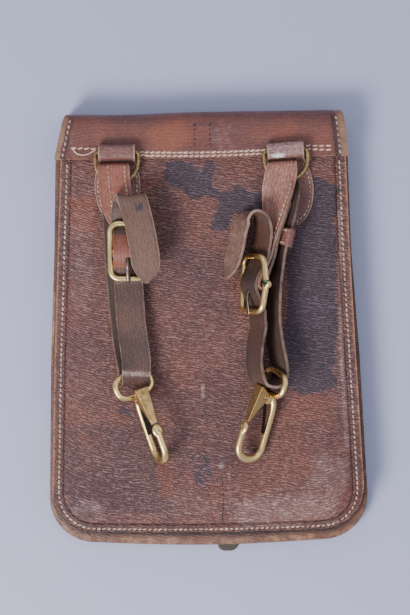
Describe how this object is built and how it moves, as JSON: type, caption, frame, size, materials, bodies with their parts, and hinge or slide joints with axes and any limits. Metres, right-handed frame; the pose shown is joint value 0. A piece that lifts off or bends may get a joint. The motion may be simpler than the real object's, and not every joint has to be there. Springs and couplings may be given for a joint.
{
  "type": "map case",
  "caption": "Flat rectangular leather map case with rounded lower corners, a long front flap, hanging straps on D rings and brass snap hooks.",
  "frame": {"origin": "on the table, under the middle of the whole object", "axes": "+Z out of the case's back, +Y to its top edge, +X to the right as its back is seen"},
  "size_m": [0.2342, 0.324, 0.055],
  "materials": {
    "panel_leather": "worn red-brown leather with fine wavy grain",
    "gusset_leather": "worn brown leather",
    "front_leather": "brown leather with tan cut edge",
    "flap_leather": "smooth reddish-brown leather",
    "closure_leather": "dark brown leather",
    "strap_leather": "dull brown strap leather",
    "patch_leather": "dark red-brown leather",
    "old_brass": "old rubbed brass",
    "spring_steel": "dull grey steel"
  },
  "bodies": {
    "case": {"back_panel": "panel_leather", "gusset": "gusset_leather", "front_panel": "front_leather", "flap": "flap_leather", "closure_strap": "closure_leather", "closure_stud": "old_brass", "keeper": "strap_leather", "ring_patch_left": "patch_leather", "d_ring_left": "old_brass", "strap_left": "strap_leather", "buckle_left": "old_brass", "prong_left": "old_brass", "snap_body_left": "old_brass", "gate_pin_left": "old_brass", "gate_spring_left": "spring_steel", "ring_patch_right": "patch_leather", "d_ring_right": "old_brass", "strap_right": "strap_leather", "buckle_right": "old_brass", "prong_right": "old_brass", "snap_body_right": "old_brass", "gate_pin_right": "old_brass", "gate_spring_right": "spring_steel"},
    "left_gate": {"snap_gate_left": "old_brass"},
    "right_gate": {"snap_gate_right": "old_brass"}
  },
  "joints": [
    {"name": "left_gate_hinge", "type": "hinge", "parent": "case", "child": "left_gate", "pos_m": [-0.04703, -0.04672, 0.04027], "axis": [0.8618, 0.3035, -0.4065], "range_deg": [0, 13], "stiffness_Nm_per_rad": 0.05, "springref_deg": -17.19},
    {"name": "right_gate_hinge", "type": "hinge", "parent": "case", "child": "right_gate", "pos_m": [0.03957, -0.04605, 0.04115], "axis": [0.4804, -0.244, 0.8424], "range_deg": [0, 13], "stiffness_Nm_per_rad": 0.05, "springref_deg": -17.19}
  ]
}
